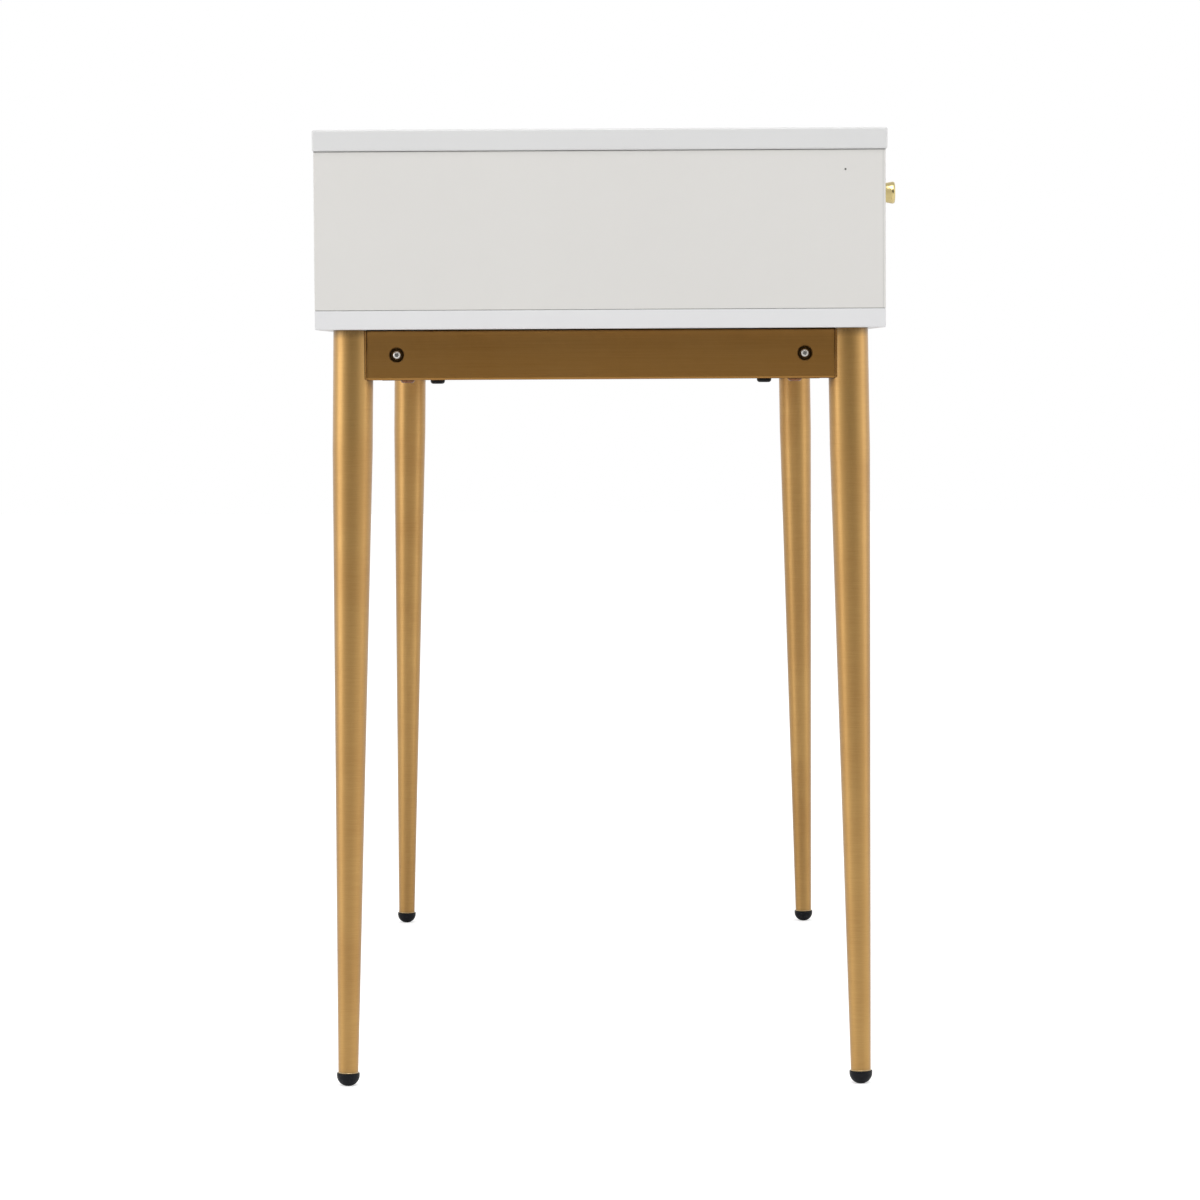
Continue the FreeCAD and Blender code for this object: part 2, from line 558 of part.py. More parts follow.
def legs_and_feet():
    """Four splayed, tapered tube legs, each on a domed foot plugged into its toe and cut level."""
    reach = "((%s - leg_gap + foot_trim) / cos(leg_tilt * 1 deg))" % FRAME_Z
    toe = "(foot_tall - %s)" % reach
    profile = [("leg_r", "0"), ("leg_r", "-leg_straight"), ("leg_toe_r", toe),
               ("leg_toe_r - leg_wall", toe), ("leg_r - leg_wall", "-leg_straight"),
               ("leg_r - leg_wall", "0")]
    plug_r = "leg_toe_r - leg_wall"
    foot_profile = [("0", "-" + reach), ("foot_r", "-" + reach), ("foot_r", toe),
                    (plug_r, toe), (plug_r, toe + " + foot_plug"), ("0", toe + " + foot_plug")]
    thick = ("top_thick", "cabinet_tall", "board_thick")
    drop = DIMENSIONS["table_height"] - sum(DIMENSIONS[name] for name in thick)
    run = DIMENSIONS["leg_run_out"]
    above, tall = 20, 120
    cutter_wide, cutter_tall = 60, 10
    tubes = {}
    for end, side, sx, sy in CORNERS:
        down = Vec(sx * run, sy * run, -drop)
        tilt = FreeCAD.Rotation(Vec(0, 0, -1), down)
        base = ("%d * leg_x" % sx, "mid_y + %d * leg_y" % sy, FRAME_Z + " - leg_gap")
        leg = place(turned("Leg%s%s" % (end, side), profile), base, tilt)
        leg.Label = "leg_%s_%s" % (end, side)
        foot = turned("Foot%s%s" % (end, side), foot_profile)
        doc.recompute()
        low = foot.Tip.Shape.BoundBox.ZMin + NEARLY
        round_edges(foot, lambda edge, low=low: edge.BoundBox.ZMax < low, "foot_flat_round")
        place(foot, base, tilt)
        corner = [base[0] + " + %d" % (sx * run - cutter_wide / 2),
                  base[1] + " + %d" % (sy * run - cutter_wide / 2), -cutter_tall]
        below = box((cutter_wide, cutter_wide, cutter_tall), corner)
        cut(foot, [below], "foot_%s_%s" % (end, side))
        start = Vec(down).normalize() * (tall - above)
        at = ["%s + (%f)" % (text, step) for text, step in zip(base, start)]
        tubes[end, side] = cylinder("leg_r", tall, at, tilt)
    return tubes


def tube_loops():
    """Outer and inner outlines of the rails' rectangular tube, its top at the origin."""
    outer = rectangle(("-rail_wide / 2", "-rail_tall"), ("rail_wide / 2", "0"))
    inner = rectangle(("rail_wall - rail_wide / 2", "rail_wall - rail_tall"),
                      ("rail_wide / 2 - rail_wall", "-rail_wall"))
    return [outer, inner]


def rail_fasteners():
    """Screws through the end rails into the long rails, black bolts up into the board."""
    screws, plugs, bolts, inserts = [], [], [], []
    face_x = "(leg_x + rail_wide / 2)"
    plug_x = "(leg_x - rail_wide / 2)"
    z = FRAME_Z + " - screw_z"
    for side, sign in SIDES:
        way = "-x" if sign > 0 else "x"
        for row in (-1, 1):
            y = "mid_y + %d * long_rail_y" % row
            seat = ("%d * (%s - dimple_deep)" % (sign, face_x), y, z)
            shank = cylinder("rail_screw_r", "rail_screw", seat, way)
            back_way = "x" if sign > 0 else "-x"
            rim_x = "%s + %d * rail_head_rim" % (seat[0], sign)
            top_x = "%s + %d * rail_head_dome" % (rim_x, sign)
            head = fuse([cylinder("rail_head_r", "rail_head_rim", seat, back_way),
                         cone("rail_head_r", "rail_head_top_r", "rail_head_dome", (rim_x, y, z),
                              back_way)])
            recess = cross_recess(("cross_long", "cross_wide", "cross_deep"), (top_x, y, z), "x")
            screws.append(cut(fuse([shank, head]), recess))
            low = plug_x + " - plug_long" if sign > 0 else "-" + plug_x
            block = box(("plug_long", "rail_wide - 2 * rail_wall", "rail_tall - 2 * rail_wall"),
                        (low, y + " - rail_wide / 2 + rail_wall",
                         FRAME_Z + " - rail_tall + rail_wall"))
            plugs.append(cut(block, [screws[-1]]))
            for spot in (("%d * leg_x" % sign, "mid_y + %d * end_bolt_y" % row),
                         ("%d * long_bolt_x" % sign, y)):
                under = (spot[0], spot[1], FRAME_Z + " - rail_tall")
                stud = cylinder("bolt_r", "bolt_long", under)
                rim = cylinder("bolt_head_r", "bolt_head_rim",
                               (spot[0], spot[1], under[2] + " - bolt_head_rim"))
                low_head = (spot[0], spot[1], under[2] + " - bolt_head")
                crown = cone("bolt_head_r - bolt_head_taper", "bolt_head_r",
                             "bolt_head - bolt_head_rim", low_head)
                cap = fuse([rim, crown])
                hex_socket = cylinder("bolt_socket_r", "bolt_socket", low_head)
                bolts.append(cut(fuse([stud, cap]), [hex_socket]))
                insert = cylinder("insert_r", "insert_long", (spot[0], spot[1], FRAME_Z))
                inserts.append(cut(insert, [bolts[-1]]))
    return (group(screws, "rail_screws"), group(plugs, "rail_end_plugs"),
            group(bolts, "frame_bolts"), group(inserts, "board_inserts"))


def rails(tubes, screws, bolts):
    """Rectangular-tube rails: end rails coped and welded to the legs, long rails between them."""
    long = "2 * leg_y"
    for side, sign in SIDES:
        rail = padded("EndRail" + side, tube_loops(), long, ("0", "0", "0"), "XZ_Plane")
        place(rail, ("%d * leg_x" % sign, "mid_y + leg_y", FRAME_Z))
        mouths, cups = [], []
        for row in (-1, 1):
            y = "mid_y + %d * long_rail_y" % row
            z = FRAME_Z + " - screw_z"
            face = ("%d * (leg_x + rail_wide / 2)" % sign, y, z)
            way = "-x" if sign > 0 else "x"
            mouth = cone("dimple_r", "dimple_floor_r", "dimple_deep", face, way)
            shell = cone("dimple_r + rail_wall", "dimple_floor_r + rail_wall",
                         "dimple_deep + rail_wall", face, way)
            mouths.append(mouth)
            cups.append(shell)
        solid = fuse([rail] + cups)
        cope = [tubes["front", side], tubes["rear", side]]
        cut(solid, mouths + cope + [screws, bolts], "end_rail_%s" % side)
    for end, row in ENDS:
        rail = padded("LongRail" + end, tube_loops(), "2 * leg_x - rail_wide", ("0", "0", "0"),
                      "YZ_Plane")
        place(rail, ("rail_wide / 2 - leg_x", "mid_y + %d * long_rail_y" % row, FRAME_Z))
        cut(rail, [bolts], "long_rail_%s" % end)


def build():
    make_sheet()
    dowels, seats = cam_fittings()
    confirmats = confirmat_screws()
    slide_screws = []
    for side, sign in SIDES:
        slide_screws += drawer(side, sign)
    cabinet_screws = group(slide_screws, "cabinet_slide_screws")
    top_screws, lid_screws = piano_hinge()
    lid_group = group(lid_screws + lid_stay(), "lid_screws")
    mirror(lid_group)
    screws, plugs, bolts, inserts = rail_fasteners()
    top_board(dowels, top_screws)
    cabinet(dowels, seats, confirmats, cabinet_screws, [inserts, bolts])
    rails(legs_and_feet(), screws, bolts)
    doc.recompute()


def export():
    """Check every object and write each named sub-part to its own file."""
    bad = [obj.Name for obj in doc.Objects if "Invalid" in obj.State or "Error" in obj.State]
    if bad:
        raise SystemExit("failed objects: " + ", ".join(bad))
    nodes = [obj for obj in doc.Objects if obj.Label == obj.Label.lower()]
    os.makedirs("parts", exist_ok=True)
    for obj in nodes:
        if obj.Shape.isNull() or not obj.Shape.isValid():
            raise SystemExit("bad shape: " + obj.Label)
    for obj in nodes:
        obj.Shape.exportStep("parts/%s.step" % obj.Label)
    print(len(nodes), "sub-parts written")


build()
export()
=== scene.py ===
import json
import math

import bmesh
import bpy
from mathutils import Matrix, Vector


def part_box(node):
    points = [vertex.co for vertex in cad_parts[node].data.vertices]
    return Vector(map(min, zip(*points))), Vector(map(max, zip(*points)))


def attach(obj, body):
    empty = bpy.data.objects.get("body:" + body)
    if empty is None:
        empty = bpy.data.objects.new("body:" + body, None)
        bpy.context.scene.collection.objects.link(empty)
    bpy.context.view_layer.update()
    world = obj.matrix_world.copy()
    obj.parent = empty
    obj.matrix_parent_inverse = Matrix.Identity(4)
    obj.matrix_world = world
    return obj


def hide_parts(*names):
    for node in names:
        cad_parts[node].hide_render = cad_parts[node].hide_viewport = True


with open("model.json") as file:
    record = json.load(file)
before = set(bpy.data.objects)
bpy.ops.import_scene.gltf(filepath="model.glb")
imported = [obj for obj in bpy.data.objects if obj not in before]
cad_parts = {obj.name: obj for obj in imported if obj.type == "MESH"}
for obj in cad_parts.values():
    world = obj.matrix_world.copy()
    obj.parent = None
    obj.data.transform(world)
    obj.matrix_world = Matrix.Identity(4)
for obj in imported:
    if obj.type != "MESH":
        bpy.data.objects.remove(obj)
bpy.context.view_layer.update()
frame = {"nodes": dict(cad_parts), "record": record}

scene = bpy.context.scene

# White lacquered boards
# The top, the side panels, the bottom board and the fronts are MDF boards, sprayed white and
# rubbed down to a satin. Their edges are eased by hand, so they catch a thin line of light.
SPRAYED_BOARDS = {
    "top_board": (0.775, 0.775, 0.772),
    "lid_panel": (0.775, 0.775, 0.772),
    "side_panel_left": (0.785, 0.770, 0.742),
    "side_panel_right": (0.785, 0.770, 0.742),
    "bottom_board": (0.825, 0.825, 0.832),
    "center_fascia": (0.785, 0.778, 0.764),
    "left_drawer_front": (0.785, 0.778, 0.764),
    "right_drawer_front": (0.785, 0.778, 0.764),
}
EASED_EDGE = 0.0006
LONG_EDGE = 0.011
JOIN_WITHIN = 0.000005


def node_group(name, inputs, outputs):
    """Empty shader group with float or colour sockets and its two end nodes."""
    tree = bpy.data.node_groups.new(name, "ShaderNodeTree")
    for label, kind, value in inputs:
        socket = tree.interface.new_socket(label, in_out="INPUT", socket_type=kind)
        socket.default_value = value
    for label, kind in outputs:
        tree.interface.new_socket(label, in_out="OUTPUT", socket_type=kind)
    return tree, tree.nodes.new("NodeGroupInput"), tree.nodes.new("NodeGroupOutput")


def add(tree, kind, links=(), **values):
    """Add a node, set its plain properties and feed its inputs by index or name."""
    node = tree.nodes.new(kind)
    for key, value in values.items():
        setattr(node, key, value)
    for socket, source in links:
        if hasattr(source, "is_output"):
            tree.links.new(source, node.inputs[socket])
        else:
            node.inputs[socket].default_value = source
    return node


FLOAT, COLOR, VECTOR = "NodeSocketFloat", "NodeSocketColor", "NodeSocketVector"


def sprayed_film():
    """Sprayed film: faint cloudy tint, orange peel, and roughness that drifts with the rub-down."""
    tree, ins, outs = node_group("sprayed_film", [
        ("Color", COLOR, (0.74, 0.74, 0.74, 1)), ("Cloud", FLOAT, 0.02), ("Peel Scale", FLOAT, 900.0),
        ("Roughness", FLOAT, 0.4), ("Rub", FLOAT, 0.06)],
        [("Color", COLOR), ("Roughness", FLOAT), ("Height", FLOAT)])
    place = add(tree, "ShaderNodeTexCoord").outputs["Object"]
    cloud = add(tree, "ShaderNodeTexNoise", [("Vector", place), ("Scale", 9.0), ("Detail", 4.0)])
    fine = add(tree, "ShaderNodeTexNoise", [("Vector", place), ("Scale", 60.0), ("Detail", 3.0)])
    peel = add(tree, "ShaderNodeTexNoise", [("Vector", place), ("Detail", 1.5)])
    tree.links.new(ins.outputs["Peel Scale"], peel.inputs["Scale"])
    drift = add(tree, "ShaderNodeMath", [(0, cloud.outputs["Fac"]), (1, 0.5)], operation="SUBTRACT")
    shade = add(tree, "ShaderNodeMath", [(0, drift.outputs[0]), (1, ins.outputs["Cloud"])],
                operation="MULTIPLY")
    bright = add(tree, "ShaderNodeMath", [(0, shade.outputs[0]), (1, 1.0)], operation="ADD")
    tint = add(tree, "ShaderNodeVectorMath", [(0, ins.outputs["Color"]), ("Scale", bright.outputs[0])],
               operation="SCALE")
    tree.links.new(tint.outputs["Vector"], outs.inputs["Color"])
    rub = add(tree, "ShaderNodeMath", [(0, fine.outputs["Fac"]), (1, 0.5)], operation="SUBTRACT")
    rough = add(tree, "ShaderNodeMath", [(0, rub.outputs[0]), (1, ins.outputs["Rub"]),
                                         (2, ins.outputs["Roughness"])], operation="MULTIPLY_ADD")
    tree.links.new(rough.outputs[0], outs.inputs["Roughness"])
    tree.links.new(peel.outputs["Fac"], outs.inputs["Height"])
    return tree


FILM = sprayed_film()


def painted_crease_shade():
    """Painted shade: darken a colour by ambient occlusion where surfaces meet closely, in joints,
    seats and under a board.
    """
    tree, ins, outs = node_group("painted_crease_shade", [
        ("Color", COLOR, (0.74, 0.74, 0.74, 1)), ("Reach", FLOAT, 0.002), ("Depth", FLOAT, 1.0)],
        [("Color", COLOR)])
    # painted shade: occlusion within Reach darkens the colour, raised to the power Depth
    hidden = add(tree, "ShaderNodeAmbientOcclusion", [("Distance", ins.outputs["Reach"])], samples=8)
    dark = add(tree, "ShaderNodeMath", [(0, hidden.outputs["AO"]), (1, ins.outputs["Depth"])],
               operation="POWER")
    tone = add(tree, "ShaderNodeVectorMath", [(0, ins.outputs["Color"]), ("Scale", dark.outputs[0])],
               operation="SCALE")
    tree.links.new(tone.outputs["Vector"], outs.inputs["Color"])
    return tree


PAINTED_CREASE_SHADE = painted_crease_shade()


def shaded(tree, shader, color, reach, depth):
    """Feed a colour to the shader through the painted crease shade group."""
    shade_node = add(tree, "ShaderNodeGroup", [("Color", color), ("Reach", reach), ("Depth", depth)],
                 node_tree=PAINTED_CREASE_SHADE)
    tree.links.new(shade_node.outputs["Color"], shader.inputs["Base Color"])


def new_material(name, **fixed):
    """Material with one Principled shader whose constant values are set on its own sockets."""
    material = bpy.data.materials.new(name)
    material.use_nodes = True
    shader = material.node_tree.nodes["Principled BSDF"]
    for label, value in fixed.items():
        shader.inputs[label.replace("_", " ")].default_value = value
    return material, material.node_tree, shader


def bump(tree, shader, height, strength, distance):
    """Raise the surface by a height pattern."""
    node = add(tree, "ShaderNodeBump", [("Height", height), ("Strength", strength),
                                        ("Distance", distance)])
    tree.links.new(node.outputs["Normal"], shader.inputs["Normal"])


def film_material(name, color, cloud, peel, roughness, rub, strength, coat=0.0):
    """Sprayed, moulded or foil finish in one colour, built on the film group, with painted shade in
    its creases.
    """
    material, tree, shader = new_material(name, Coat_Weight=coat, Coat_Roughness=0.22)
    film = add(tree, "ShaderNodeGroup", node_tree=FILM)
    for label, value in (("Color", (*color, 1)), ("Cloud", cloud), ("Peel Scale", peel),
                         ("Roughness", roughness), ("Rub", rub)):
        film.inputs[label].default_value = value
    # painted shade: the colour darkens within 1.6 mm of a neighbouring surface
    shaded(tree, shader, film.outputs["Color"], reach=0.0016, depth=1.5)
    tree.links.new(film.outputs["Roughness"], shader.inputs["Roughness"])
    bump(tree, shader, film.outputs["Height"], strength, distance=0.0002)
    return material


def dress(node, material):
    """Give a carried-over node its finish."""
    for slot in frame["nodes"][node].material_slots:
        slot.material = material


def body_of(node):
    """Moving body that a node belongs to."""
    return next(name for name, nodes in frame["record"]["behaviour"]["bodies"].items()
                if node in nodes)


def stand_for(piece, *nodes):
    """A finished piece joins the body of its nodes, and the nodes are hidden."""
    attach(piece, body_of(nodes[0]))
    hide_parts(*nodes)
    return piece


def shade_evenly(piece):
    """Smooth shading whose flats stay flat and whose sharp edges stay sharp."""
    for polygon in piece.data.polygons:
        polygon.use_smooth = True
    even = piece.modifiers.new("even_shade", "WEIGHTED_NORMAL")
    even.keep_sharp = True
    even.weight = 100


def merged(node):
    """Working copy of a node's mesh, its loose triangles joined along their edges."""
    work = bmesh.new()
    work.from_mesh(frame["nodes"][node].data)
    bmesh.ops.remove_doubles(work, verts=work.verts, dist=JOIN_WITHIN)
    return work


def linked(name, data):
    """Object of a mesh, light or camera, put in the scene."""
    piece = bpy.data.objects.new(name, data)
    scene.collection.objects.link(piece)
    return piece


def finished(name, work, material):
    """Object of a working mesh, in one finish."""
    mesh = bpy.data.meshes.new(name)
    for face in work.faces:
        face.material_index = 0
    work.to_mesh(mesh)
    work.free()
    mesh.materials.append(material)
    return linked(name, mesh)


def eased_copy(node, name, material, ease, segments=2):
    """Merged copy of a node whose long sharp edges are eased."""
    work = merged(node)
    bmesh.ops.dissolve_limit(work, angle_limit=math.radians(1.0), verts=work.verts,
                             edges=work.edges)
    long_edges = [edge for edge in work.edges
                  if edge.is_manifold and edge.calc_length() > LONG_EDGE
                  and edge.calc_face_angle_signed() > math.radians(60)]
    bmesh.ops.bevel(work, geom=long_edges, offset=ease, segments=segments, profile=0.5,
                    affect="EDGES", clamp_overlap=False)
    for edge in work.edges:
        edge.smooth = edge.calc_face_angle(0) < math.radians(50)
    piece = finished(name, work, material)
    shade_evenly(piece)
    return stand_for(piece, node)


lacquers = {}
for board, tint in SPRAYED_BOARDS.items():
    if tint not in lacquers:
        lacquers[tint] = film_material("white_lacquer_%d" % len(lacquers), tint, cloud=0.03,
                                       peel=1100.0, roughness=0.42, rub=0.10, strength=0.10,
                                       coat=0.25)
    eased_copy(board, board + "_sprayed", lacquers[tint], EASED_EDGE)

# Edge-band seam
# The side panels' front edges are closed with a solid band 2 mm thick; the fine grey line down the
# panel at its joint is painted shade, standing in for the shade of a fine groove.
BAND_THICK = 0.002
BAND_LINE = 0.00018
BAND_SHADE = 0.72
band_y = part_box("side_panel_left")[0][1] + BAND_THICK
panel_tree = lacquers[SPRAYED_BOARDS["side_panel_left"]].node_tree
shade_node = next(node for node in panel_tree.nodes
              if node.type == "GROUP" and node.node_tree == PAINTED_CREASE_SHADE)
film_color = shade_node.inputs["Color"].links[0].from_socket
# painted shade: the colour is darkened to 72 % in a 0.18 mm line at the band's joint
across = add(panel_tree, "ShaderNodeSeparateXYZ",
             [("Vector", add(panel_tree, "ShaderNodeTexCoord").outputs["Object"])])
on_line = add(panel_tree, "ShaderNodeMath", [(0, across.outputs["Y"]), (1, band_y),
                                             (2, BAND_LINE)], operation="COMPARE")
groove_shade_factor = add(panel_tree, "ShaderNodeMath", [(0, on_line.outputs[0]), (1, BAND_SHADE - 1.0),
                                            (2, 1.0)], operation="MULTIPLY_ADD")
groove_shaded = add(panel_tree, "ShaderNodeVectorMath", [(0, film_color), ("Scale", groove_shade_factor.outputs[0])],
            operation="SCALE")
panel_tree.links.new(groove_shaded.outputs["Vector"], shade_node.inputs["Color"])

# Melamine-faced cabinet and drawer boards
# The dividers, the back and the drawers' walls are chipboard faced with matt white melamine,
# sawn to size; the drawer bottoms are thin painted hardboard slid into grooves.
MELAMINE = (0.700, 0.690, 0.665)
HARDBOARD = (0.640, 0.625, 0.590)
SAWN_EDGE = 0.0003
melamine = film_material("white_melamine", MELAMINE, cloud=0.05, peel=2600.0, roughness=0.52,
                         rub=0.12, strength=0.25)
hardboard = film_material("painted_hardboard", HARDBOARD, cloud=0.08, peel=700.0, roughness=0.62,
                          rub=0.16, strength=0.35)
for board in ("divider_left", "divider_right", "back_panel"):
    eased_copy(board, board + "_faced", melamine, SAWN_EDGE, segments=1)
for side in ("left", "right"):
    for board in ("drawer_wall_left", "drawer_wall_right", "drawer_back"):
        node = "%s_%s" % (side, board)
        eased_copy(node, node + "_faced", melamine, SAWN_EDGE, segments=1)
    dress("%s_drawer_bottom" % side, hardboard)

# Gold steel frame
# Rectangular-tube rails coped and welded to spun, tapered tube legs, all brushed and coated a
# brass gold. The brushing runs along the rails and round the legs.
GOLD = (0.590, 0.345, 0.105)
GOLD_DEEP = (0.480, 0.255, 0.068)
# The rails' gold is a darker copy of the legs' gold: painted shade on the rails' flat faces, which
# also colours the weld beads.
RAIL_GOLD_PAINTED_SHADE = (0.430, 0.222, 0.060)
RAIL_DEEP_PAINTED_SHADE = (0.335, 0.162, 0.036)
RAIL_CORNER = 0.0018


def brushing():
    """Brush marks: fine streaks across one direction, for colour, roughness and height."""
    tree, ins, outs = node_group("brushing", [
        ("Light", COLOR, (*GOLD, 1)), ("Deep", COLOR, (*GOLD_DEEP, 1)), ("Stretch", VECTOR, (1, 1, 1)),
        ("Roughness", FLOAT, 0.3), ("Spread", FLOAT, 0.12)],
        [("Color", COLOR), ("Roughness", FLOAT), ("Height", FLOAT)])
    place = add(tree, "ShaderNodeTexCoord").outputs["Object"]
    drawn = add(tree, "ShaderNodeVectorMath", [(0, place), (1, ins.outputs["Stretch"])],
                operation="MULTIPLY")
    streak = add(tree, "ShaderNodeTexNoise", [("Vector", drawn.outputs["Vector"]), ("Scale", 1.0),
                                              ("Detail", 5.0), ("Roughness", 0.65)])
    patch = add(tree, "ShaderNodeTexNoise", [("Vector", place), ("Scale", 14.0), ("Detail", 3.0)])
    blend = add(tree, "ShaderNodeMath", [(0, streak.outputs["Fac"]), (1, 0.7),
                                         (2, patch.outputs["Fac"])], operation="MULTIPLY_ADD")
    mask = add(tree, "ShaderNodeMapRange", [("Value", blend.outputs[0]), ("From Min", 0.55),
                                            ("From Max", 1.15)])
    tone = add(tree, "ShaderNodeMix", [("Factor", mask.outputs["Result"]), (6, ins.outputs["Light"]),
                                       (7, ins.outputs["Deep"])], data_type="RGBA")
    tree.links.new(tone.outputs[2], outs.inputs["Color"])
    rough = add(tree, "ShaderNodeMath", [(0, mask.outputs["Result"]), (1, ins.outputs["Spread"]),
                                         (2, ins.outputs["Roughness"])], operation="MULTIPLY_ADD")
    tree.links.new(rough.outputs[0], outs.inputs["Roughness"])
    tree.links.new(streak.outputs["Fac"], outs.inputs["Height"])
    return tree


BRUSHING = brushing()


def brushed(name, light, deep, stretch, roughness, spread, strength, coat=0.0,
            reach=0.004, depth=1.0):
    """Bare or coated metal with brush marks; stretch sets how fine they are along each axis; reach and
    depth set the painted shade in its creases.
    """
    material, tree, shader = new_material(name, Metallic=1.0, Coat_Weight=coat,
                                          Coat_Roughness=0.3)
    marks = add(tree, "ShaderNodeGroup", node_tree=BRUSHING)
    for label, value in (("Light", (*light, 1)), ("Deep", (*deep, 1)), ("Stretch", stretch),
                         ("Roughness", roughness), ("Spread", spread)):
        marks.inputs[label].default_value = value
    shaded(tree, shader, marks.outputs["Color"], reach, depth)
    tree.links.new(marks.outputs["Roughness"], shader.inputs["Roughness"])
    bump(tree, shader, marks.outputs["Height"], strength, distance=0.0001)
    return material


# Painted shade: the legs darken over 8 mm towards the board above them, the rails more steeply at
# their edges and seams.
gold_leg = brushed("gold_leg", GOLD, GOLD_DEEP, stretch=(60, 60, 1400), roughness=0.33, spread=0.10,
                   strength=0.12, coat=0.7, reach=0.008, depth=1.6)
gold_end_rail, gold_long_rail = [
    brushed(name, RAIL_GOLD_PAINTED_SHADE, RAIL_DEEP_PAINTED_SHADE, stretch=drawn, roughness=0.33, spread=0.10, strength=0.15,
            coat=0.2, reach=0.003, depth=2.0)
    for name, drawn in (("gold_end_rail", (900, 12, 900)), ("gold_long_rail", (12, 900, 900)))]


def smooth_copy(node, name, material, sharp=30):
    """Merged copy of a turned node, its facets shaded smooth up to an angle in degrees."""
    work = merged(node)
    for edge in work.edges:
        edge.smooth = not edge.is_manifold or edge.calc_face_angle() < math.radians(sharp)
    for face in work.faces:
        face.smooth = True
    return stand_for(finished(name, work, material), node)


CORNERS = [(end, side) for end in ("front", "rear") for side in ("left", "right")]
for end, side in CORNERS:
    leg = "leg_%s_%s" % (end, side)
    smooth_copy(leg, leg + "_spun", gold_leg)
for side in ("left", "right"):
    rail = "end_rail_%s" % side
    eased_copy(rail, rail + "_brushed", gold_end_rail, RAIL_CORNER, segments=3)
for end in ("front", "rear"):
    rail = "long_rail_%s" % end
    eased_copy(rail, rail + "_brushed", gold_long_rail, RAIL_CORNER, segments=3)


def copies_on_spots():
    """Tree that puts a small piece on every spot, facing its heading and twisted by chance."""
    tree = bpy.data.node_groups.new("copies_on_spots", "GeometryNodeTree")
    for label, kind in (("Spots", "NodeSocketGeometry"), ("Piece", "NodeSocketObject"),
                        ("Finish", "NodeSocketMaterial"), ("Spin", "NodeSocketFloat"),
                        ("Seed", "NodeSocketInt")):
        tree.interface.new_socket(label, in_out="INPUT", socket_type=kind)
    tree.interface.new_socket("Mesh", in_out="OUTPUT", socket_type="NodeSocketGeometry")
    ins, outs = tree.nodes.new("NodeGroupInput"), tree.nodes.new("NodeGroupOutput")
    heading, size = [add(tree, "GeometryNodeInputNamedAttribute", [("Name", label)],
                         data_type="FLOAT_VECTOR") for label in ("heading", "size")]
    aligned = add(tree, "FunctionNodeAlignRotationToVector",
                  [("Vector", heading.outputs["Attribute"])], axis="Z")
    lower = add(tree, "ShaderNodeMath", [(0, ins.outputs["Spin"]), (1, -1.0)],
                operation="MULTIPLY")
    chance = add(tree, "FunctionNodeRandomValue", [(2, lower.outputs[0]), (3, ins.outputs["Spin"]),
                                                   ("Seed", ins.outputs["Seed"])])
    twist = add(tree, "FunctionNodeAxisAngleToRotation", [("Axis", (0, 0, 1)),
                                                          ("Angle", chance.outputs[1])])
    turned = add(tree, "FunctionNodeRotateRotation", [("Rotation", aligned.outputs["Rotation"]),
                                                      ("Rotate By", twist.outputs["Rotation"])],
                 rotation_space="LOCAL")
    source = add(tree, "GeometryNodeObjectInfo", [("Object", ins.outputs["Piece"])])
    copies = add(tree, "GeometryNodeInstanceOnPoints", [
        ("Points", ins.outputs["Spots"]), ("Instance", source.outputs["Geometry"]),
        ("Rotation", turned.outputs["Rotation"]), ("Scale", size.outputs["Attribute"])])
    real = add(tree, "GeometryNodeRealizeInstances", [("Geometry", copies.outputs["Instances"])])
    finish = add(tree, "GeometryNodeSetMaterial", [("Geometry", real.outputs["Geometry"]),
                                                   ("Material", ins.outputs["Finish"])])
    tree.links.new(finish.outputs["Geometry"], outs.inputs["Mesh"])
    return tree


COPIES = copies_on_spots()
COPY_SOCKETS = {item.name: item.identifier for item in COPIES.interface.items_tree
                if item.in_out == "INPUT"}
ANY_TURN = 3.1


def scatter(name, master, spots, material, seed=0, spin=0.0):
    """Copies of a small mesh on spots of (place, heading, size), as one plain mesh."""
    master_object = bpy.data.objects.new(name + "_master", master)
    cloud = bpy.data.meshes.new(name + "_spots")
    cloud.from_pydata([spot[0] for spot in spots], [], [])
    for label, at in (("heading", 1), ("size", 2)):
        values = cloud.attributes.new(label, "FLOAT_VECTOR", "POINT")
        for number, spot in enumerate(spots):
            values.data[number].vector = spot[at]
    holder = linked(name + "_holder", cloud)
    made = holder.modifiers.new("scatter", "NODES")
    made.node_group = COPIES
    for label, value in (("Piece", master_object), ("Finish", material), ("Spin", spin),
                         ("Seed", seed)):
        made[COPY_SOCKETS[label]] = value
    graph = bpy.context.evaluated_depsgraph_get()
    mesh = bpy.data.meshes.new_from_object(holder.evaluated_get(graph), depsgraph=graph)
    holder.modifiers.remove(made)
    bpy.data.objects.remove(holder)
    bpy.data.objects.remove(master_object)
    mesh.name = name
    return linked(name, mesh)


